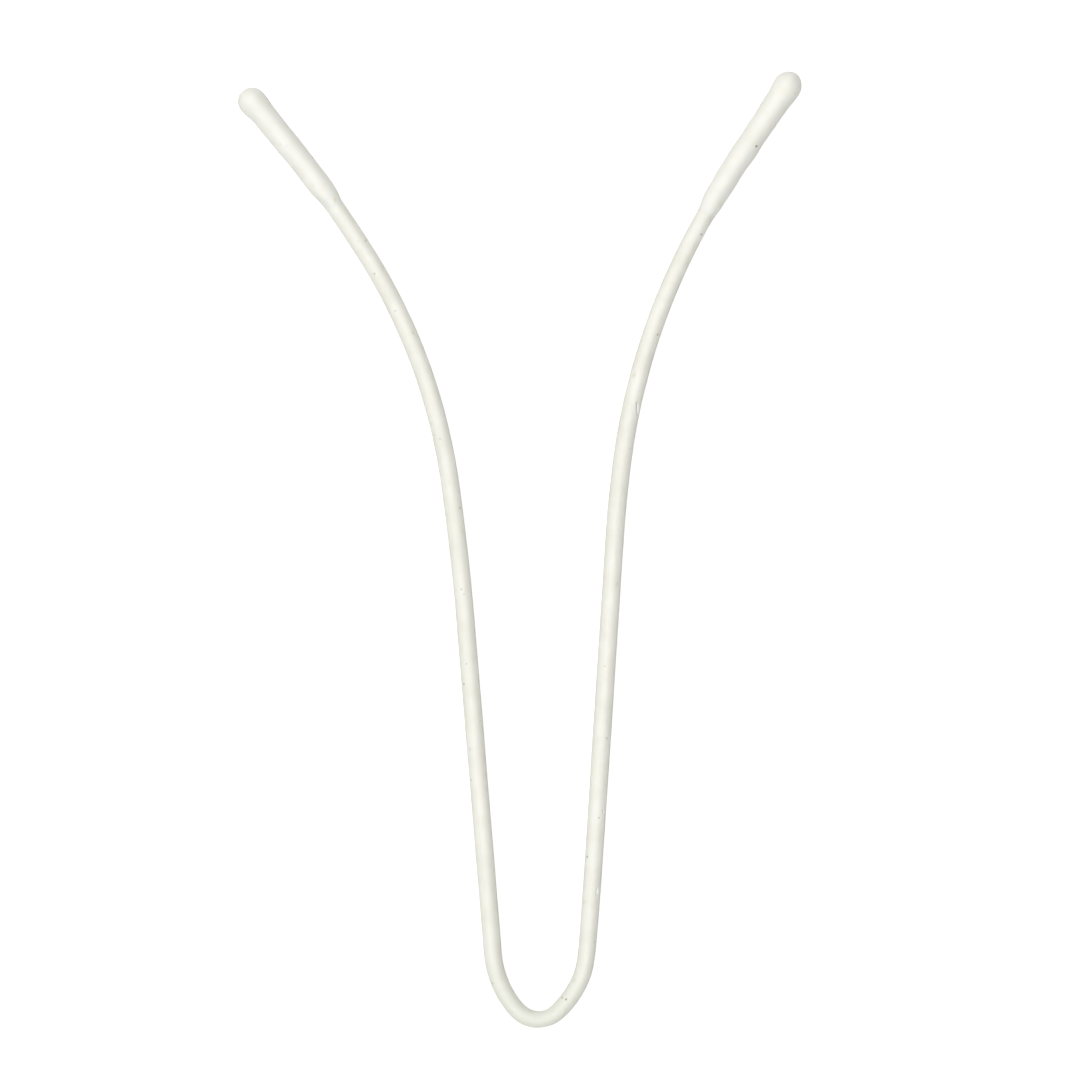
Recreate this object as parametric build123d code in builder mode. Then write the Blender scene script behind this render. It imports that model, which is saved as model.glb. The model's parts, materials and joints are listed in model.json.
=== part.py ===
from build123d import *
import math
import os

# V-shaped cable needle, in millimetres. One length of round spring wire in a nylon jacket
# is bent to a narrow V with flared legs, and each cut end is buried in a thick blunt tip
# that was dipped over it. The needle lies on a table and rests on its bend and on both
# tips. +Y runs from the bend to the open end, +Z is up, and the origin is on the table at
# the centre of the footprint.

# Wire and jacket
core_diameter = 1.6
jacket_wall = 0.3

# Bend: a tight crown with a wider shoulder on each side. Turns are in degrees and start
# from the lowest point of the bend.
crown_radius = 3.4
left_crown_turn = 48.1
left_shoulder_radius = 11.5
left_shoulder_turn = 37.2
right_crown_turn = 43.7
right_shoulder_radius = 12.0
right_shoulder_turn = 42.6

# Legs: a straight run from the shoulder, then the flare as (radius, turn) pairs. The wire
# was bent by hand, so the legs differ.
left_run = 39.9
left_flare = [(290.0, 3.4), (70.0, 24.0), (140.0, 9.4)]
right_run = 49.4
right_flare = [(136.0, 4.1), (80.0, 21.6), (165.0, 6.6)]

# Tips: each covers a length of jacket from its lip to the wire's end, grows over a short
# neck to its body, swells to a bulb at the wire's end, and closes with a dome beyond it.
# Walls are measured over the jacket.
lip_wall = 0.05
body_wall = 0.33
tip_sections = 16  # evenly spaced cross-sections carry a tip's outline along the wire
left_cover = 15.6
left_neck = 2.0
left_swell = 4.0
left_bulb_wall = 0.6
left_dome = 1.9
right_cover = 18.2
right_neck = 2.2
right_swell = 4.6
right_bulb_wall = 0.64
right_dome = 2.0

core_radius = core_diameter / 2
jacket_radius = core_radius + jacket_wall
lip_radius = jacket_radius + lip_wall
body_radius = jacket_radius + body_wall
left_bulb_radius = jacket_radius + left_bulb_wall
right_bulb_radius = jacket_radius + right_bulb_wall


def draw_leg(side, crown_turn, shoulder_radius, shoulder_turn, run, flare):
    """Draw a leg from the lowest point of the bend; side is 1 to the right, -1 to the left."""
    crown = JernArc((0, 0), (side, 0), crown_radius, side * crown_turn)
    shoulder = JernArc(crown @ 1, crown % 1, shoulder_radius, side * shoulder_turn)
    stretch = Line(shoulder @ 1, shoulder @ 1 + (shoulder % 1) * run)
    for radius, turn in flare:
        stretch = JernArc(stretch @ 1, stretch % 1, radius, -side * turn)


# Both legs start at the lowest point of the bend and are drawn flat, around that point.
with BuildLine() as left_leg:
    draw_leg(-1, left_crown_turn, left_shoulder_radius, left_shoulder_turn, left_run, left_flare)

with BuildLine() as right_leg:
    draw_leg(1, right_crown_turn, right_shoulder_radius, right_shoulder_turn, right_run, right_flare)


def dome_reach(leg, bulb_radius, dome):
    """How far a tip's elliptical dome reaches from the bend's lowest point, sideways and along Y."""
    end = leg.wire() @ 1
    heading = leg.wire() % 1
    sideways = math.hypot(dome * heading.X, bulb_radius * heading.Y)
    along = math.hypot(dome * heading.Y, bulb_radius * heading.X)
    return end.X + math.copysign(sideways, end.X), end.Y + along


# The footprint runs from the outside of the bend to the domes, and is centred on the origin.
left_reach = dome_reach(left_leg, left_bulb_radius, left_dome)
right_reach = dome_reach(right_leg, right_bulb_radius, right_dome)
bend_x = -(left_reach[0] + right_reach[0]) / 2
bend_y = -(max(left_reach[1], right_reach[1]) - jacket_radius) / 2

# The bulbs are thicker than the jacket, so the plane of the centreline leans a little: it
# passes one jacket radius above the table at the bend and one bulb radius at each tip.
left_rise = (left_leg.wire() @ 1) + Vector(0, 0, left_bulb_wall)
right_rise = (right_leg.wire() @ 1) + Vector(0, 0, right_bulb_wall)
wire_plane = Plane(
    origin=(bend_x, bend_y, jacket_radius),
    x_dir=(1, 0, 0),
    z_dir=right_rise.cross(left_rise),
)
left_path = wire_plane.from_local_coords(left_leg.wire())
right_path = wire_plane.from_local_coords(right_leg.wire())
wire_path = Wire(left_path.edges() + right_path.edges())
wire_start = Plane(wire_path ^ 0)


def tip_radius(depth, cover, neck, swell, bulb_radius):
    """Radius of a tip at a depth back from the wire's end."""
    if depth < swell:
        share = (1 + math.cos(math.pi * depth / swell)) / 2
        return body_radius + (bulb_radius - body_radius) * share
    if depth > cover - neck:
        share = (1 + math.cos(math.pi * (cover - depth) / neck)) / 2
        return body_radius + (lip_radius - body_radius) * share
    return body_radius


def make_tip(name, path, cover, neck, swell, bulb_radius, dome):
    """Make and write a tip: its outline over the wire, its dome, and the socket it grips."""
    with BuildPart() as tip:
        for section in range(tip_sections + 1):
            depth = cover * (1 - section / tip_sections)
            with BuildSketch(Plane(path.location_at(path.length - depth, PositionMode.LENGTH))):
                Circle(tip_radius(depth, cover, neck, swell, bulb_radius))
        loft()
        end = Plane(path ^ 1)
        with BuildSketch(Plane(origin=end.origin, x_dir=end.z_dir, z_dir=wire_plane.z_dir)):
            with BuildLine():
                rim = EllipticalCenterArc((0, 0), dome, bulb_radius, start_angle=0, arc_size=90)
                Polyline(rim @ 1, (0, 0), rim @ 0)
            make_face()
        revolve(axis=Axis(end.origin, end.z_dir))
        with BuildSketch(Plane(path ^ 0)):
            Circle(jacket_radius)
        sweep(path=path, mode=Mode.SUBTRACT)
    tip.part.label = name
    export_step(tip.part, f"parts/{name}.step")


os.makedirs("parts", exist_ok=True)

with BuildPart() as core_wire:
    with BuildSketch(wire_start):
        Circle(core_radius)
    sweep(path=wire_path)
core_wire.part.label = "core_wire"
export_step(core_wire.part, "parts/core_wire.step")

with BuildPart() as wire_coating:
    with BuildSketch(wire_start):
        Circle(jacket_radius)
        Circle(core_radius, mode=Mode.SUBTRACT)
    sweep(path=wire_path)
wire_coating.part.label = "wire_coating"
export_step(wire_coating.part, "parts/wire_coating.step")

make_tip("left_tip", left_path, left_cover, left_neck, left_swell, left_bulb_radius, left_dome)
make_tip("right_tip", right_path, right_cover, right_neck, right_swell, right_bulb_radius, right_dome)
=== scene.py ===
import json
import math

import bpy
import numpy as np
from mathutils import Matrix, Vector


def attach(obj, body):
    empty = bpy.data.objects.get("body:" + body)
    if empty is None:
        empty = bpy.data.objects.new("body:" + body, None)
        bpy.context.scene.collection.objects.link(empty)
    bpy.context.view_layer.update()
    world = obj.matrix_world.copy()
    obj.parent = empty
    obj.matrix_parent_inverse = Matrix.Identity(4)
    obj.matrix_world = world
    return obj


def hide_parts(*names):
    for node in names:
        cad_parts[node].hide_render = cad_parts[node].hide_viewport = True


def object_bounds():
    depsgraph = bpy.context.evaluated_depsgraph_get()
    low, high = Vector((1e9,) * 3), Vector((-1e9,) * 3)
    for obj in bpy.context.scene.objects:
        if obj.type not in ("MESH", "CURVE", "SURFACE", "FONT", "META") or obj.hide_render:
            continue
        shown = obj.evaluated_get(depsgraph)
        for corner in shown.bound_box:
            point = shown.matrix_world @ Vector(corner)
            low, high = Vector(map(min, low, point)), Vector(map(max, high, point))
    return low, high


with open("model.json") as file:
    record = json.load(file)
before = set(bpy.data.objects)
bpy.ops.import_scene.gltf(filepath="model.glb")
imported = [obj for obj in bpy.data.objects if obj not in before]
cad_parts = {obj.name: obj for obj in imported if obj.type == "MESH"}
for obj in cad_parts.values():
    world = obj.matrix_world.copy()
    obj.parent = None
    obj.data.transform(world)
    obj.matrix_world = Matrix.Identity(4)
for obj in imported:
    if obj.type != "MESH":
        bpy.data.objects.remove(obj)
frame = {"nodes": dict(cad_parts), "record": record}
cadLow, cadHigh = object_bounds()
print("frame: CAD box", [round(v * 1000, 2) for v in (*cadLow, *cadHigh)], "mm")

mm = 0.001


# A hex colour as it is picked on a screen, turned to the linear values that shaders use.
def linear(hexColour):
    channels = np.array([int(hexColour[i:i + 2], 16) for i in (1, 3, 5)]) / 255
    low = channels / 12.92
    high = ((channels + 0.055) / 1.055) ** 2.4
    return (*np.where(channels <= 0.04045, low, high), 1.0)


# Runs a bell-shaped window of the given width over evenly spaced values. Ends repeat.
def soften(values, width, spacing):
    half = max(int(width / spacing / 2), 1)
    window = np.hanning(2 * half + 3)[1:-1]
    padded = np.pad(values, half, mode="edge")
    return np.convolve(padded, window / window.sum(), mode="valid")


# An outline given by a few (place, value) points: straight between them, then softened.
def outline(points, places, rounding):
    placeOf, valueOf = np.array(points).T
    spacing = 0.02
    fine = np.arange(placeOf.min() - rounding, placeOf.max() + rounding, spacing)
    return np.interp(places, fine, soften(np.interp(fine, placeOf, valueOf), rounding, spacing))


# Uneven skin: a sum of sine waves, each with its own wavelength along the wire, number of
# lobes round it, and phase. The root mean square of the sum is the given height.
def lumps(along, angle, unevenness):
    draw = np.random.default_rng(unevenness["seed"])
    count = unevenness["waves"]
    wavelength = draw.uniform(*unevenness["wavelength"], count)
    fewest, most = unevenness["lobes"]
    lobes = draw.integers(fewest, most + 1, count)
    phase = draw.uniform(0, 2 * math.pi, count)
    waves = np.sin(2 * math.pi * along[..., None] / wavelength + lobes * angle[..., None] + phase)
    return unevenness["height"] * waves.sum(axis=-1) * math.sqrt(2 / count)


# How strongly each mark covers each point of a grid: a bell that is 1 at the mark's middle.
# A mark is (distance along, angle, half length, half width, ...).
def cover(along, angle, radius, marks):
    place = np.array(marks, dtype=float).T
    ahead = (along[..., None] - place[0]) / place[2]
    turn = angle[..., None] - np.radians(place[1])
    aside = np.arctan2(np.sin(turn), np.cos(turn)) * radius / place[3]
    return np.exp(-ahead ** 2 - aside ** 2)


# Rings and columns crowd round a mark, so that it has enough faces to take its shape. They do
# so over a share of the mark's half length on each side of it, and over a least distance.
crowding = {
    "step": 0.01,             # spacing at which the rings' density is worked out
    "ringShare": 1.6,
    "ringLeast": 0.35,
    "columnShare": 2.0,
    "columnLeast": 0.8,
    "columnPull": 0.6,        # below 1, so that no column passes another
}


# Where rings go between two places: evenly, but closer together near each mark, where their
# density rises by the flat-topped bell exp(-x^4). Rings stand at even steps of the density's
# running sum.
def ringPlaces(first, last, coarse, fine, marks):
    step = crowding["step"]
    places = np.arange(first, last, step)
    density = np.full_like(places, 1 / coarse)
    for mark in marks:
        reach = max(crowding["ringLeast"], mark[2] * crowding["ringShare"])
        density += (1 / fine - 1 / coarse) * np.exp(-((places - mark[0]) / reach) ** 4)
    density = np.minimum(density, 1 / fine)
    passed = np.concatenate([[0], np.cumsum(density[:-1])]) * step
    rings = int(round(passed[-1]))
    return np.interp(np.linspace(0, passed[-1], rings + 1), passed, places)


# The angles of each ring's columns: even all round, and drawn towards a mark near it by
# taking a sine off the angle.
def columnAngles(places, columns, marks):
    even = np.linspace(0, 2 * math.pi, columns, endpoint=False)
    angle = np.tile(even, (len(places), 1))
    if not marks:
        return angle
    middle = np.array([mark[0] for mark in marks])
    towards = np.radians([mark[1] for mark in marks])
    share = crowding["columnShare"]
    reach = np.array([max(crowding["columnLeast"], mark[2] * share) for mark in marks])
    near = np.exp(-((places[:, None] - middle) / reach) ** 2)
    near /= np.maximum(near.sum(axis=1, keepdims=True), 1)
    pull = near[:, None, :] * np.sin(angle[..., None] - towards)
    return angle - crowding["columnPull"] * pull.sum(axis=-1)


# Order of travel is left tip, bend, right tip. A bend is (radius, turn), with a plus radius
# where the wire turns to its left, and a plain number is a straight run.
wireLine = {
    "leftLeg": [(-140.0, 9.4), (-70.0, 24.0), (-290.0, 3.4), 39.9, (11.5, 37.2), (3.4, 48.1)],
    "rightLeg": [(3.4, 43.7), (12.0, 42.6), 49.4, (-136.0, 4.1), (-80.0, 21.6), (-165.0, 6.6)],
    "easing": 2.4,     # length over which one curvature runs into the next
    "spacing": 0.02,
    "beyond": 4.0,     # straight length past each end, for the domes
    "jacket": 1.1,     # nominal radius over the coating
}


# Heading turns evenly along each bend and is then softened, so that one bend eases into the
# next. Position is the running sum of the heading's cosine and sine. Both are counted from
# the lowest point of the bend.
def traceWire(line):
    stretches = line["leftLeg"] + line["rightLeg"]
    curved = [isinstance(stretch, tuple) for stretch in stretches]
    lengths = [abs(s[0]) * math.radians(s[1]) if c else s for s, c in zip(stretches, curved)]
    turns = [math.copysign(math.radians(s[1]), s[0]) if c else 0.0 for s, c in zip(stretches, curved)]
    ends = np.cumsum([0.0] + lengths)
    bendAt = ends[len(line["leftLeg"])]
    spacing = line["spacing"]
    along = np.arange(-line["beyond"], ends[-1] + line["beyond"], spacing)
    heading = soften(np.interp(along, ends, np.cumsum([0.0] + turns)), line["easing"], spacing)
    heading -= np.interp(bendAt, along, heading)
    midway = (heading[1:] + heading[:-1]) / 2
    across = np.concatenate([[0.0], np.cumsum(np.cos(midway))]) * spacing
    away = np.concatenate([[0.0], np.cumsum(np.sin(midway))]) * spacing
    across -= np.interp(bendAt, along, across)
    away -= np.interp(bendAt, along, away)
    return {"along": along, "heading": heading, "across": across, "away": away,
            "length": ends[-1], "bend": bendAt}


wire = traceWire(wireLine)

# The wire's plane passes through the bend and both tips' ends, as the CAD record gives them.
mounts = {mount["name"]: mount for mount in frame["record"]["mounts"]}
seat = mounts["bend_seat"]
bendPoint = np.array(seat["pos_m"]) - np.array(seat["axis"]) * wireLine["jacket"] * mm
leftPole = np.array(mounts["left_tip_end"]["pos_m"])
rightPole = np.array(mounts["right_tip_end"]["pos_m"])
lean = np.cross(rightPole - bendPoint, leftPole - bendPoint)
lean /= np.linalg.norm(lean)
acrossAxis = np.array([1.0, 0.0, 0.0]) - lean[0] * lean
acrossAxis /= np.linalg.norm(acrossAxis)
awayAxis = np.cross(lean, acrossAxis)


# Points round the wire: centre + shift towards the gap + radius times the direction at that
# angle. Angle 0 faces the gap between the legs, 90 faces up, 180 faces outwards.
def carry(along, angle, radius, shift):
    across = np.interp(along, wire["along"], wire["across"]) * mm
    away = np.interp(along, wire["along"], wire["away"]) * mm
    heading = np.interp(along, wire["along"], wire["heading"])
    centre = bendPoint + across[..., None] * acrossAxis + away[..., None] * awayAxis
    side = np.cos(heading)[..., None] * awayAxis - np.sin(heading)[..., None] * acrossAxis
    sideways = (shift + radius * np.cos(angle)) * mm
    upwards = radius * np.sin(angle) * mm
    return centre + sideways[..., None] * side + upwards[..., None] * lean


# Joins a grid of rings (rings x columns x 3) into one closed skin. With two poles, the first
# and last rings close on those points; without them, the last ring meets the first. Faces are
# turned to point outwards, which is where the enclosed volume comes out positive.
def skin(name, rings, poles=None):
    count, columns = rings.shape[:2]
    number = np.arange(count * columns).reshape(count, columns)
    if poles is None:
        upper = np.roll(number, -1, axis=0)
        lower = number
    else:
        upper = number[1:]
        lower = number[:-1]
    quads = np.stack([lower, np.roll(lower, -1, axis=1), np.roll(upper, -1, axis=1), upper], axis=-1)
    faces = quads.reshape(-1, 4)
    points = rings.reshape(-1, 3)
    caps = np.empty((0, 3), dtype=int)
    if poles is not None:
        points = np.concatenate([points, poles])
        firstPole = np.full(columns, count * columns)
        start = np.stack([firstPole, np.roll(number[0], -1), number[0]], axis=-1)
        finish = np.stack([firstPole + 1, number[-1], np.roll(number[-1], -1)], axis=-1)
        caps = np.concatenate([start, finish])
    corner = points - points.mean(axis=0)
    a, b, c, d = (corner[faces[:, i]] for i in range(4))
    volume = (a * np.cross(b, c) + a * np.cross(c, d)).sum()
    if volume < 0:
        faces = faces[:, ::-1]
        caps = caps[:, ::-1]
    inside = np.clip(points, np.array(cadLow), np.array(cadHigh))
    trimmed = np.abs(points - inside).max() / mm
    points = inside
    mesh = bpy.data.meshes.new(name)
    mesh.from_pydata(points, [], faces.tolist() + caps.tolist())
    mesh.polygons.foreach_set("use_smooth", np.ones(len(mesh.polygons), dtype=bool))
    mesh.update()
    piece = bpy.data.objects.new(name, mesh)
    bpy.context.scene.collection.objects.link(piece)
    triangles = 2 * len(faces) + len(caps)
    print(f"{name}: {triangles} triangles, trimmed to the CAD box by up to {trimmed:.3f} mm")
    return piece


# Writes one number, or three, for each point of a piece.
def paint(piece, name, values):
    shape = "FLOAT_VECTOR" if values.ndim == 2 else "FLOAT"
    field = "vector" if values.ndim == 2 else "value"
    attribute = piece.data.attributes.new(name, shape, "POINT")
    attribute.data.foreach_set(field, np.ascontiguousarray(values, dtype=np.float32).ravel())


# Marks are (distance along the wire, angle, half length, half width, depth or strength).
jacket = {
    "radius": [(0, 1.095), (60, 1.1), (80, 1.105), (100, 1.095), (110, 1.087), (116, 1.065),
               (124, 1.045), (132, 1.065), (140, 1.09), (150, 1.1), (158, 1.112), (190, 1.112),
               (204, 1.1), (212, 1.075), (220, 1.062), (240, 1.06)],
    "radiusRounding": 8.0,
    "shift": [(108, 0.01), (113, -0.02), (117, -0.05), (119.2, -0.1), (121.3, -0.1), (122.7, -0.06),
              (126, -0.06), (127.9, -0.05), (129.2, 0.04), (130.2, 0.1), (132, 0.1), (133.5, 0.06),
              (137, 0.03), (142, 0.0)],    # towards the gap, where the bend isn't true
    "shiftRounding": 0.8,
    "crownAt": 120.5,
    "crownLength": 1.7,     # half length of the pinched crown
    "crownPinch": 0.055,    # thickness it has lost
    "bore": 0.8,
    "boreSpacing": 1.0,
    "columns": 40,
    "coarse": 0.17,
    "fine": 0.055,
    "tuck": 0.035,          # the jacket is this much thinner where a tip grips it
    "leftTuckAt": 14.3,
    "rightTuckAt": 222.9,
    "swell": {"seed": 11, "waves": 14, "wavelength": (5.0, 20.0), "lobes": (0, 2), "height": 0.004},
    "flats": {"seed": 12, "waves": 12, "wavelength": (14.0, 60.0), "lobes": (3, 6), "height": 0.003},
    "peel": {"seed": 13, "waves": 30, "wavelength": (0.9, 2.6), "lobes": (-6, 6), "height": 0.0022},
    "pinholes": [
        (21.1, 90, 0.08, 0.09, 0.025), (21.5, 42, 0.09, 0.08, 0.055), (25.45, 111, 0.09, 0.08, 0.055),
        (30.6, 104, 0.09, 0.09, 0.035), (46.4, 131, 0.08, 0.08, 0.025), (47.0, 102, 0.09, 0.09, 0.025),
        (65.3, 99, 0.08, 0.08, 0.045), (65.9, 83, 0.08, 0.08, 0.025), (74.3, 106, 0.08, 0.07, 0.04),
        (76.7, 138, 0.1, 0.09, 0.06), (81.25, 45, 0.07, 0.07, 0.03), (88.3, 145, 0.1, 0.09, 0.035),
        (112.7, 141, 0.08, 0.08, 0.04), (123.95, 42, 0.09, 0.08, 0.065), (124.1, 72, 0.11, 0.1, 0.075),
        (131.75, 138, 0.12, 0.08, 0.03), (141.95, 39, 0.1, 0.09, 0.075),
        (146.75, 104, 0.08, 0.07, 0.055), (156.4, 123, 0.09, 0.09, 0.035),
        (165.0, 79, 0.08, 0.08, 0.035), (191.4, 129, 0.08, 0.08, 0.03),
        (205.65, 132, 0.1, 0.09, 0.065), (218.95, 134, 0.12, 0.1, 0.06)],
    "pitRim": 0.35,         # a pit's raised rim, as a share of its depth
    "rust": [(55.55, 45, 0.13, 0.12, 0.7)],
    "smudgesAndShade": [
        (16.9, 25, 0.12, 0.1, 0.5), (17.05, 145, 0.12, 0.1, 0.5), (25.3, 42, 0.4, 0.22, 0.4),
        (33.85, 57, 0.22, 0.15, 0.8), (44.9, 143, 0.25, 0.2, 0.4), (52.3, 92, 0.2, 0.15, 0.25),
        (58.4, 45, 0.4, 0.2, 0.3), (84.6, 132, 0.22, 0.16, 0.6), (126.7, 51, 0.3, 0.16, 0.5),
        (136.45, 39, 0.17, 0.13, 1.0), (137.35, 118, 0.12, 0.08, 0.4), (137.7, 101, 0.1, 0.07, 0.3),
        (138.1, 92, 0.08, 0.08, 0.3), (174.95, 123, 0.24, 0.15, 0.8), (200.15, 57, 0.28, 0.2, 0.8),
        (215.05, 138, 0.4, 0.17, 0.5)],
    # (distance along, angle, half length, width, depth, degrees its wall turns by towards its
    # end, strength of the painted shade along its wall)
    "nicks": [(196.3, 127, 0.9, 0.38, 0.15, -15, 1.0), (137.9, 121, 0.52, 0.32, 0.09, 0, 0.5),
              (147.5, 127, 0.3, 0.26, 0.06, 0, 0.5)],
    "nickWall": 0.065,      # width of a nick's steep wall
    "facetBrightness": 1.7,     # above 1, so that most of the facet is painted fully bright
    # Small raised bumps, each painted white: a painted glint.
    "glintBumps": [(116.6, 97, 0.12, 0.1, 0.012), (121.8, 83, 0.25, 0.06, 0.012),
               (122.65, 111, 0.22, 0.08, 0.010), (178.55, 141, 0.22, 0.1, 0.010),
               (209.15, 97, 0.16, 0.08, 0.012)],
    "glintBumpHeight": 0.034,   # a bump this high is painted fully white, as a painted glint
    "greyerBendReach": 9.0,        # half length of the greyer stretch at the bend
}


# Radius of the bare jacket at each distance and angle: its thickness along the wire, less a
# bell-shaped pinch at the crown of the bend, plus the uneven skin.
def jacketRadius(along, angle, sizes):
    radius = outline(sizes["radius"], along, sizes["radiusRounding"])
    fromCrown = (along - sizes["crownAt"]) / sizes["crownLength"]
    radius -= sizes["crownPinch"] * np.exp(-fromCrown ** 2)
    for unevenness in ("swell", "flats", "peel"):
        radius += lumps(along, angle, sizes[unevenness])
    return radius


leastOpening = 0.01     # keeps a nick's width above nothing at its two ends


# A nick is a groove with a steep wall on its inner side and a facet that comes back up to the
# skin on its outer side. Its depth is the full depth times (1 - x^2) times a rise from 0 to 1
# across the wall and a fall from 1 to 0 across the facet, where x is the distance from its
# middle over its half length. Gives the depth, the share of the facet that is painted bright
# (partly painted highlight) and the painted shade along the wall.
def cutNicks(along, angle, nicks, wallWidth):
    cut = np.zeros_like(along)
    facet = np.zeros_like(along)
    wall = np.zeros_like(along)
    for middle, facing, halfLength, width, depth, slant, wallShade in nicks:
        x = (along - middle) / halfLength
        opened = np.clip(1 - x ** 2, 0, 1)
        turn = angle - np.radians(facing + slant * x)
        aside = np.arctan2(np.sin(turn), np.cos(turn)) * wireLine["jacket"]
        rise = np.clip(aside / wallWidth + 0.5, 0, 1)
        fall = np.clip(1 - aside / (width * np.maximum(opened, leastOpening)), 0, 1)
        cut = np.maximum(cut, depth * opened * rise * fall)
        facet = np.maximum(facet, np.sqrt(opened * fall) * (aside > wallWidth / 2))
        # A strip along the steep wall is painted dark: painted shade in the groove.
        wall = np.maximum(wall, wallShade * np.sqrt(opened) * np.exp(-(aside / wallWidth) ** 2))
    return cut, facet, wall


darkDepth = 0.06        # a pit this deep is painted fully dark, as painted shade


# Pits are small bells sunk into the skin, each with a low rim twice as wide as the bell. Gives
# the change of radius, and the painted shade of each point: its depth below the skin over darkDepth.
def pitting(along, angle, radius, marks, rim):
    marks = np.array(marks)
    depths = marks[:, 4]
    bells = cover(along, angle, radius, marks) * depths
    rims = cover(along, angle, radius, marks * [1, 1, 2, 2, 1]) * depths
    change = (rim * rims - (1 + rim) * bells).sum(axis=-1)
    return change, np.clip(bells / darkDepth, 0, 1).max(axis=-1)


# The strongest of the marks at each point, each mark fading out from its own strength.
def staining(along, angle, radius, marks):
    strengths = np.array(marks)[:, 4]
    return (cover(along, angle, radius, marks) * strengths).max(axis=-1)


# Distance along the wire and the two directions across it, so that a pattern can follow the
# wire round its bends.
def unroll(along, angle, radius):
    return np.stack([along, radius * np.cos(angle), radius * np.sin(angle)], axis=-1) * mm


# Outer rings run from the left end to the right, and the bore's rings run back inside them.
def makeJacket(sizes):
    nominal = wireLine["jacket"]
    marks = sizes["pinholes"] + sizes["rust"] + sizes["nicks"] + sizes["glintBumps"]
    places = ringPlaces(0.0, wire["length"], sizes["coarse"], sizes["fine"], marks)
    angle = columnAngles(places, sizes["columns"], marks)
    along = np.repeat(places[:, None], sizes["columns"], axis=1)
    underLeft = np.clip(sizes["leftTuckAt"] - along, 0, 1)
    underRight = np.clip(along - sizes["rightTuckAt"], 0, 1)
    cut, facet, wall = cutNicks(along, angle, sizes["nicks"], sizes["nickWall"])
    pits, pinhole = pitting(along, angle, nominal, sizes["pinholes"], sizes["pitRim"])
    glintBump = staining(along, angle, nominal, sizes["glintBumps"])
    radius = jacketRadius(along, angle, sizes)
    radius -= sizes["tuck"] * np.maximum(underLeft, underRight)
    radius += pits + glintBump - cut
    bore = np.linspace(wire["length"], 0.0, int(wire["length"] / sizes["boreSpacing"]) + 1)
    boreAngle = columnAngles(bore, sizes["columns"], [])
    boreAlong = np.repeat(bore[:, None], sizes["columns"], axis=1)
    shift = outline(sizes["shift"], along, sizes["shiftRounding"])
    outer = carry(along, angle, radius, shift)
    inner = carry(boreAlong, boreAngle, np.full_like(boreAlong, sizes["bore"]), 0.0)
    piece = skin("jacket", np.concatenate([outer, inner]))
    inBore = np.zeros_like(boreAlong)
    layers = {
        # Painted shade: in the pits, by their depth, and along the nicks' steep walls.
        "pinhole": np.maximum(pinhole, wall),
        "smudge": staining(along, angle, nominal, sizes["smudgesAndShade"]),
        "rust": staining(along, angle, nominal, sizes["rust"]),
        # Painted white: nick facets, partly fresh chipped coating and partly painted highlight, and
        # the glint bumps as painted glints.
        "fresh": np.maximum(sizes["facetBrightness"] * facet, glintBump / sizes["glintBumpHeight"]),
        # The bend is mixed a shade greyer, fading out on each side.
        "worn": np.exp(-((along - wire["bend"]) / sizes["greyerBendReach"]) ** 2),
    }
    for name, values in layers.items():
        paint(piece, name, np.concatenate([values, inBore]).ravel())
    paths = [unroll(along, angle, nominal), unroll(boreAlong, boreAngle, nominal)]
    paint(piece, "unrolled", np.concatenate(paths).reshape(-1, 3))
    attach(piece, "root")
    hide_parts("wire_coating")
    return piece


# Depth is measured from the wire's end back along the wire, so the dome has minus depths.
# "radius" is the outline's half width, and "shift" how far its middle lies towards the gap.
leftTip = {
    "name": "leftTip",
    "node": "left_tip",
    "dome": 1.82,
    "domePower": 0.45,
    "cover": 16.4,
    "body": 1.465,         # usual radius, by which the marks are placed
    "radius": [(0.0, 1.69), (0.5, 1.68), (1.2, 1.585), (2.0, 1.505), (3.3, 1.52), (5.0, 1.465),
               (6.8, 1.475), (8.6, 1.435), (12.4, 1.425), (13.3, 1.4), (14.0, 1.345),
               (14.8, 1.24), (15.4, 1.15), (16.0, 1.085), (16.4, 1.06)],
    "radiusRounding": 0.7,
    "shift": [(-1.82, 0.0), (-1.1, 0.0), (-0.5, 0.02), (0.8, 0.05), (2.0, 0.04),
              (3.5, -0.02), (6.8, -0.045), (8.8, 0.0), (12.6, 0.01), (13.9, 0.06), (14.9, 0.08),
              (15.7, 0.03), (16.4, 0.0)],
    "swell": {"seed": 21, "waves": 10, "wavelength": (2.5, 9.0), "lobes": (0, 3), "height": 0.010},
    "peel": {"seed": 22, "waves": 30, "wavelength": (0.9, 2.6), "lobes": (-7, 7), "height": 0.003},
    "runs": {"seed": 23, "waves": 6, "wavelength": (2.0, 5.0), "lobes": (1, 4), "height": 0.012},
    "pinholes": [(6.1, 118, 0.07, 0.07, 0.018), (6.75, 101, 0.07, 0.07, 0.018),
                 (15.4, 65, 0.08, 0.07, 0.005)],
    "smudgesAndShade": [(15.4, 66, 0.24, 0.16, 0.8), (14.9, 33, 0.22, 0.08, 0.3), (12.4, 120, 0.4, 0.3, 0.2),
                (0.9, 60, 0.5, 0.4, 0.15)],
    "blushes": [(13.8, 95, 0.25, 0.2, 0.7), (3.4, 105, 0.5, 0.3, 0.25)],
}
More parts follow.
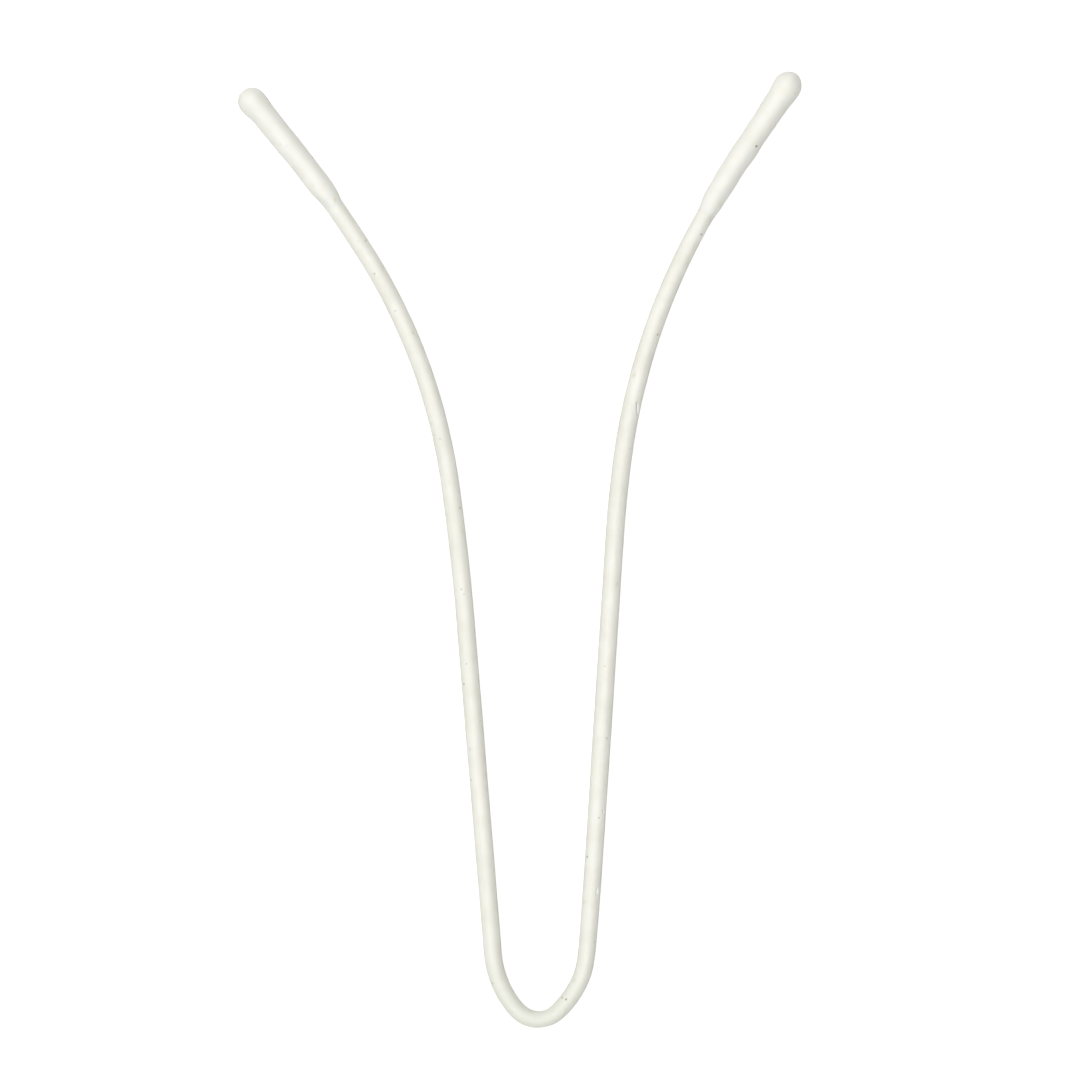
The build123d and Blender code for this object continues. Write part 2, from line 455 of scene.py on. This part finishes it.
rightTip = {
    "name": "rightTip",
    "node": "right_tip",
    "dome": 2.0,
    "domePower": 0.56,
    "cover": 18.9,
    "body": 1.47,
    "radius": [(-0.2, 1.74), (0.3, 1.715), (1.0, 1.645), (1.7, 1.555), (3.2, 1.515), (4.7, 1.47),
               (6.1, 1.455), (7.6, 1.445), (9.2, 1.47), (10.3, 1.455), (11.7, 1.4), (13.0, 1.43),
               (14.2, 1.375), (15.4, 1.365), (16.3, 1.315), (16.9, 1.245), (17.6, 1.13),
               (18.1, 1.08), (18.9, 1.035)],
    "radiusRounding": 0.7,
    "shift": [(-2.0, 0.12), (-1.4, 0.12), (-0.4, 0.12), (0.6, 0.05), (1.6, 0.02), (3.2, 0.02),
              (5.1, -0.045), (9.0, -0.045), (10.4, 0.02), (12.0, 0.035), (14.4, 0.02),
              (15.6, 0.07), (16.3, 0.06), (17.0, 0.0), (18.9, 0.0)],
    "swell": {"seed": 31, "waves": 10, "wavelength": (2.5, 9.0), "lobes": (0, 3), "height": 0.010},
    "peel": {"seed": 32, "waves": 30, "wavelength": (0.9, 2.6), "lobes": (-7, 7), "height": 0.003},
    "runs": {"seed": 33, "waves": 6, "wavelength": (2.0, 5.0), "lobes": (1, 4), "height": 0.012},
    "pinholes": [(8.05, 128, 0.11, 0.1, 0.12)],
    # The smudge at 16.2 is painted shade in the neck's dip, and those at 18.2 and 18.3 are painted
    # shade in the crease at the lip; the rest are stains.
    "smudgesAndShade": [(0.15, 137, 0.16, 0.15, 0.8), (0.75, 85, 0.5, 0.45, 0.2), (16.2, 135, 0.5, 0.3, 0.3),
                (18.2, 79, 0.2, 0.18, 0.45), (18.3, 30, 0.3, 0.2, 0.9), (18.3, 130, 0.25, 0.15, 0.6)],
    "blushes": [(10.6, 80, 0.6, 0.3, 0.25)],
}
tipGrid = {
    "columns": 56,
    "coarse": 0.13,
    "fine": 0.05,
    "domeRings": 22,
    "pitRim": 0.7,
    "runsBack": 1.2,        # the runs stand this far back from the lip, over this length
    "runsLength": 0.8,
    "socketSpacing": 0.6,
    "socketEnd": -0.02,
    "socketPlay": 0.012,
    "lipThickness": 0.02,
}


# A tip's outer rings run from the pole of its dome to the lip, where the surface dips just
# under the jacket's, and its socket runs back inside to a flat end at the wire's end. The
# dome narrows as (1 - (depth / dome)^2) to a power, which is a half for a plain ellipse.
def makeTip(sizes, grid, fromLeft):
    nominal = sizes["body"]
    roll = np.linspace(0.5 * math.pi, 0, grid["domeRings"] + 1)[1:-1]
    domePlaces = -sizes["dome"] * np.sin(roll)
    bodyPlaces = ringPlaces(0.0, sizes["cover"], grid["coarse"], grid["fine"], sizes["pinholes"])
    places = np.concatenate([domePlaces, bodyPlaces])
    angle = columnAngles(places, grid["columns"], sizes["pinholes"])
    depth = np.repeat(places[:, None], grid["columns"], axis=1)
    narrowing = (1 - (np.minimum(depth, 0) / sizes["dome"]) ** 2) ** sizes["domePower"]
    nearLip = np.exp(-((sizes["cover"] - depth - grid["runsBack"]) / grid["runsLength"]) ** 2)
    radius = outline(sizes["radius"], depth, sizes["radiusRounding"])
    radius += lumps(depth, angle, sizes["swell"]) + lumps(depth, angle, sizes["peel"])
    radius += lumps(depth, angle, sizes["runs"]) * nearLip
    pits, pinhole = pitting(depth, angle, nominal, sizes["pinholes"], grid["pitRim"])
    radius = radius * narrowing + pits
    shift = outline(sizes["shift"], depth, sizes["radiusRounding"])
    along = depth if fromLeft else wire["length"] - depth
    outer = carry(along, angle, radius, shift)

    socketPlaces = np.linspace(sizes["cover"], grid["socketEnd"],
                               int(sizes["cover"] / grid["socketSpacing"]) + 1)
    socketAngle = columnAngles(socketPlaces, grid["columns"], [])
    socketDepth = np.repeat(socketPlaces[:, None], grid["columns"], axis=1)
    socketAlong = socketDepth if fromLeft else wire["length"] - socketDepth
    jacketUnder = outline(jacket["radius"], socketAlong, jacket["radiusRounding"]) - jacket["tuck"]
    socketRadius = jacketUnder + grid["socketPlay"]
    socketRadius[0] = radius[-1].mean() - grid["lipThickness"]
    socket = carry(socketAlong, socketAngle, socketRadius, 0.0)

    poleDepth = np.array([-sizes["dome"], grid["socketEnd"]])
    poleAlong = poleDepth if fromLeft else wire["length"] - poleDepth
    poleShift = np.array([outline(sizes["shift"], poleDepth[:1], sizes["radiusRounding"])[0], 0.0])
    poles = carry(poleAlong, np.zeros(2), np.zeros(2), poleShift)
    piece = skin(sizes["name"], np.concatenate([outer, socket]), poles)

    inSocket = np.zeros(socketDepth.size + len(poles))
    layers = {
        # Painted shade in the pits, by their depth.
        "pinhole": pinhole,
        # Stains, and painted shade at the right tip's neck and lip.
        "smudge": staining(depth, angle, nominal, sizes["smudgesAndShade"]),
        "blush": staining(depth, angle, nominal, sizes["blushes"]),
    }
    for name, values in layers.items():
        paint(piece, name, np.concatenate([values.ravel(), inSocket]))
    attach(piece, "root")
    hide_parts(sizes["node"])
    return piece


# Adds one node: settings are its own fields, and each input is a value or a (node, output).
def addNode(tree, kind, settings=None, inputs=None):
    node = tree.nodes.new(kind)
    for field, value in (settings or {}).items():
        setattr(node, field, value)
    for socket, value in (inputs or {}).items():
        if isinstance(value, tuple) and isinstance(value[0], bpy.types.Node):
            tree.links.new(value[0].outputs[value[1]], node.inputs[socket])
        else:
            node.inputs[socket].default_value = value
    return node


# A new material with an empty tree and its output node.
def newMaterial(name):
    material = bpy.data.materials.new(name)
    material.use_nodes = True
    material.node_tree.nodes.clear()
    output = material.node_tree.nodes.new("ShaderNodeOutputMaterial")
    return material, material.node_tree, output


# Mix node sockets are numbered, because each kind of value has its own A, B and Result.
mixColour = {"data_type": "RGBA"}
multiplyColour = {"data_type": "RGBA", "blend_type": "MULTIPLY"}
factorIn, colourA, colourB, colourOut = 0, 6, 7, 2
noiseRange = (0.3, 0.7)     # a noise texture's values mostly fall between these
white = (1.0, 1.0, 1.0, 1.0)

# Polyamide 11 powder, fused on the hot wire: an ivory satin skin with a soft broad sheen,
# faint clouds of warmer colour, lengthwise draw lines and a very fine orange peel.
fusedNylon = {
    "name": "fusedNylonJacket",
    "ivory": "#E8E8DF",
    "cloud": "#E2E1D6",
    "cloudSize": 3.0,
    "cloudDetail": 3.0,
    "cloudRange": (0.35, 0.7),
    # The fresh white is partly painted highlight and glint, the smudge colour is partly painted shade,
    # and the pinhole colour is painted shade.
    "layers": {"worn": "#DDDED3", "smudge": "#CDCBAE", "rust": "#A98A78", "fresh": "#FDFDFC",
               "pinhole": "#6F6A60"},
    "roughness": 0.42,
    "roughnessChange": 0.04,
    "ior": 1.53,
    "streakWidth": 0.45,
    "streakLength": 9.0,
    "streakDepth": 0.03,
    "streakDetail": 2.0,
    "grainSize": 0.3,       # powder grain is nearer 0.08, drawn coarser so that it shows
    "grainHeight": 0.005,
    "grainDetail": 2.0,
    "peelSize": 1.1,
    "peelHeight": 0.008,
    "peelDetail": 1.0,
    "subsurface": 0.12,
    "scatterDepth": 0.4,
    "scatterShares": (1.0, 0.85, 0.6),      # red light goes deepest, blue least
}
# The same nylon, dipped a second time and left to flow: thicker and a little smoother, with
# no draw lines.
dippedNylon = dict(
    fusedNylon,
    name="dippedNylonTip",
    ivory="#E8E8E1",
    cloud="#E3E3D9",
    # On the tips the smudge colour is partly painted shade, and the pinhole colour is painted shade.
    layers={"smudge": "#DECD9C", "blush": "#F0E2D8", "pinhole": "#6F6A60"},
    roughness=0.38,
    streakDepth=0.0,
    grainHeight=0.003,
    subsurface=0.15,
)


def nylonMaterial(look):
    material, tree, output = newMaterial(look["name"])
    coords = addNode(tree, "ShaderNodeTexCoord")
    clouds = addNode(tree, "ShaderNodeTexNoise", None, {
        "Vector": (coords, "Object"), "Scale": 1 / (look["cloudSize"] * mm),
        "Detail": look["cloudDetail"]})
    cloudAmount = addNode(tree, "ShaderNodeMapRange", None, {
        "Value": (clouds, "Fac"), "From Min": look["cloudRange"][0],
        "From Max": look["cloudRange"][1]})
    colour = addNode(tree, "ShaderNodeMix", mixColour, {
        factorIn: (cloudAmount, "Result"), colourA: linear(look["ivory"]),
        colourB: linear(look["cloud"])})
    if look["streakDepth"]:
        unrolled = addNode(tree, "ShaderNodeAttribute", {"attribute_name": "unrolled"})
        lengthwise = 1 / (look["streakLength"] * mm)
        crosswise = 1 / (look["streakWidth"] * mm)
        stretched = addNode(tree, "ShaderNodeMapping", None, {
            "Vector": (unrolled, "Vector"), "Scale": (lengthwise, crosswise, crosswise)})
        streaks = addNode(tree, "ShaderNodeTexNoise", None, {
            "Vector": (stretched, "Vector"), "Scale": 1.0, "Detail": look["streakDetail"]})
        streakAmount = addNode(tree, "ShaderNodeMapRange", None, {
            "Value": (streaks, "Fac"), "From Min": noiseRange[0], "From Max": noiseRange[1],
            "To Min": 1 - look["streakDepth"], "To Max": 1.0})
        colour = addNode(tree, "ShaderNodeMix", multiplyColour, {
            factorIn: 1.0, colourA: (colour, colourOut), colourB: (streakAmount, "Result")})
    for layer, layerColour in look["layers"].items():
        amount = addNode(tree, "ShaderNodeAttribute", {"attribute_name": layer})
        colour = addNode(tree, "ShaderNodeMix", mixColour, {
            factorIn: (amount, "Fac"), colourA: (colour, colourOut), colourB: linear(layerColour)})
    peel = addNode(tree, "ShaderNodeTexNoise", None, {
        "Vector": (coords, "Object"), "Scale": 1 / (look["peelSize"] * mm),
        "Detail": look["peelDetail"]})
    peelBump = addNode(tree, "ShaderNodeBump", None, {
        "Height": (peel, "Fac"), "Distance": look["peelHeight"] * mm})
    grain = addNode(tree, "ShaderNodeTexNoise", None, {
        "Vector": (coords, "Object"), "Scale": 1 / (look["grainSize"] * mm),
        "Detail": look["grainDetail"]})
    grainBump = addNode(tree, "ShaderNodeBump", None, {
        "Height": (grain, "Fac"), "Distance": look["grainHeight"] * mm,
        "Normal": (peelBump, "Normal")})
    roughness = addNode(tree, "ShaderNodeMapRange", None, {
        "Value": (clouds, "Fac"), "From Min": noiseRange[0], "From Max": noiseRange[1],
        "To Min": look["roughness"] - look["roughnessChange"],
        "To Max": look["roughness"] + look["roughnessChange"]})
    shader = addNode(tree, "ShaderNodeBsdfPrincipled", None, {
        "Base Color": (colour, colourOut), "Roughness": (roughness, "Result"),
        "IOR": look["ior"], "Normal": (grainBump, "Normal"),
        "Subsurface Weight": look["subsurface"], "Subsurface Radius": look["scatterShares"],
        "Subsurface Scale": look["scatterDepth"] * mm})
    tree.links.new(shader.outputs["BSDF"], output.inputs["Surface"])
    return material


# Spring-steel wire, cold drawn: a grey metal with fine bright lines along its length. It is
# inside the jacket and shows only if the jacket is taken off.
drawnSteel = {
    "light": "#BDBBB6",
    "dark": "#8F8D89",
    "roughness": 0.32,
    "lineWidth": 0.08,
    "lineStretch": 0.03,    # the wire runs mostly along Y, so the lines do too
    "lineHeight": 0.002,
    "lineDetail": 4.0,
}


def steelMaterial(look):
    material, tree, output = newMaterial("drawnSpringSteel")
    coords = addNode(tree, "ShaderNodeTexCoord")
    stretched = addNode(tree, "ShaderNodeMapping", None, {
        "Vector": (coords, "Object"), "Scale": (1.0, look["lineStretch"], 1.0)})
    lines = addNode(tree, "ShaderNodeTexNoise", None, {
        "Vector": (stretched, "Vector"), "Scale": 1 / (look["lineWidth"] * mm),
        "Detail": look["lineDetail"]})
    colour = addNode(tree, "ShaderNodeMix", mixColour, {
        factorIn: (lines, "Fac"), colourA: linear(look["dark"]), colourB: linear(look["light"])})
    bump = addNode(tree, "ShaderNodeBump", None, {
        "Height": (lines, "Fac"), "Distance": look["lineHeight"] * mm})
    shader = addNode(tree, "ShaderNodeBsdfPrincipled", None, {
        "Base Color": (colour, colourOut), "Metallic": 1.0, "Roughness": look["roughness"],
        "Normal": (bump, "Normal")})
    tree.links.new(shader.outputs["BSDF"], output.inputs["Surface"])
    return material


makeJacket(jacket).data.materials.append(nylonMaterial(fusedNylon))
tipMaterial = nylonMaterial(dippedNylon)
makeTip(leftTip, tipGrid, True).data.materials.append(tipMaterial)
makeTip(rightTip, tipGrid, False).data.materials.append(tipMaterial)
steel = steelMaterial(drawnSteel)
for materialSlot in frame["nodes"]["core_wire"].material_slots:
    materialSlot.material = steel
print("pieces and materials made")


studio = {
    "floorSize": 4.0,         # metres, as are the lights' places and sizes
    "floorGap": 0.02,
    "floorColour": "#CFCFCD",
    "floorRoughness": 0.9,
    "floorGlow": 0.1,         # a lit table top, as it shines on the object
    "floorGlowSeen": 0.62,    # and as it's seen, so that no shadow greys it
    "sky": 0.12,
    "key": {"place": (-0.12, 0.25, 1.0), "size": (1.3, 4.6), "power": 34.2, "facing": "down"},
    "fill": {"place": (-0.9, 0.35, 0.45), "size": (0.9, 0.9), "power": 2.2, "facing": "object"},
    "front": {"place": (0.0, -1.1, 0.13), "size": (1.2, 0.2), "power": 0.9, "facing": "object"},
    "back": {"place": (0.0, 1.2, 0.13), "size": (1.2, 0.2), "power": 0.6, "facing": "object"},
    "cameraHeight": 600.0,
    "viewWidth": 130.1,       # width of the picture, at the wire
    "viewAside": 2.38,        # how far right of the box's middle the camera aims
    "viewAway": 1.2,
    "sensor": 36.0,
}


def makeFloor(look):
    half = look["floorSize"] / 2
    level = cadLow.z - look["floorGap"] * mm
    corners = [(-half, -half, level), (half, -half, level), (half, half, level), (-half, half, level)]
    mesh = bpy.data.meshes.new("floor")
    mesh.from_pydata(corners, [], [(0, 1, 2, 3)])
    floor = bpy.data.objects.new("floor", mesh)
    bpy.context.scene.collection.objects.link(floor)
    material, tree, output = newMaterial("paleTableTop")
    ray = addNode(tree, "ShaderNodeLightPath")
    glow = addNode(tree, "ShaderNodeMapRange", None, {
        "Value": (ray, "Is Camera Ray"), "To Min": look["floorGlow"],
        "To Max": look["floorGlowSeen"]})
    shader = addNode(tree, "ShaderNodeBsdfPrincipled", None, {
        "Base Color": linear(look["floorColour"]), "Roughness": look["floorRoughness"],
        "Specular IOR Level": 0.0, "Emission Color": white,
        "Emission Strength": (glow, "Result")})
    tree.links.new(shader.outputs["BSDF"], output.inputs["Surface"])
    mesh.materials.append(material)


# A soft box that faces straight down or at the object, and isn't seen itself.
def makeLight(name, look):
    lamp = bpy.data.lights.new(name, "AREA")
    lamp.shape = "RECTANGLE"
    lamp.size, lamp.size_y = look["size"]
    lamp.energy = look["power"]
    light = bpy.data.objects.new(name, lamp)
    bpy.context.scene.collection.objects.link(light)
    light.location = look["place"]
    if look["facing"] == "object":
        light.rotation_euler = (-light.location).to_track_quat("-Z", "Y").to_euler()
    light.visible_camera = False


def makeSky(strength):
    world = bpy.data.worlds.new("studioSky")
    world.use_nodes = True
    background = world.node_tree.nodes["Background"]
    background.inputs["Color"].default_value = white
    background.inputs["Strength"].default_value = strength
    bpy.context.scene.world = world


def makeCamera(look):
    lens = bpy.data.cameras.new("camera")
    lens.sensor_width = look["sensor"]
    lens.lens = look["sensor"] * look["cameraHeight"] / look["viewWidth"]
    camera = bpy.data.objects.new("camera", lens)
    bpy.context.scene.collection.objects.link(camera)
    middle = (cadLow + cadHigh) / 2
    camera.location = (middle.x + look["viewAside"] * mm, middle.y + look["viewAway"] * mm,
                       middle.z + look["cameraHeight"] * mm)
    bpy.context.scene.camera = camera


makeFloor(studio)
for lightName in ("key", "fill", "front", "back"):
    makeLight(lightName + "Light", studio[lightName])
makeSky(studio["sky"])
makeCamera(studio)
bpy.context.scene.view_settings.view_transform = "Standard"
print("floor, lights and camera made")
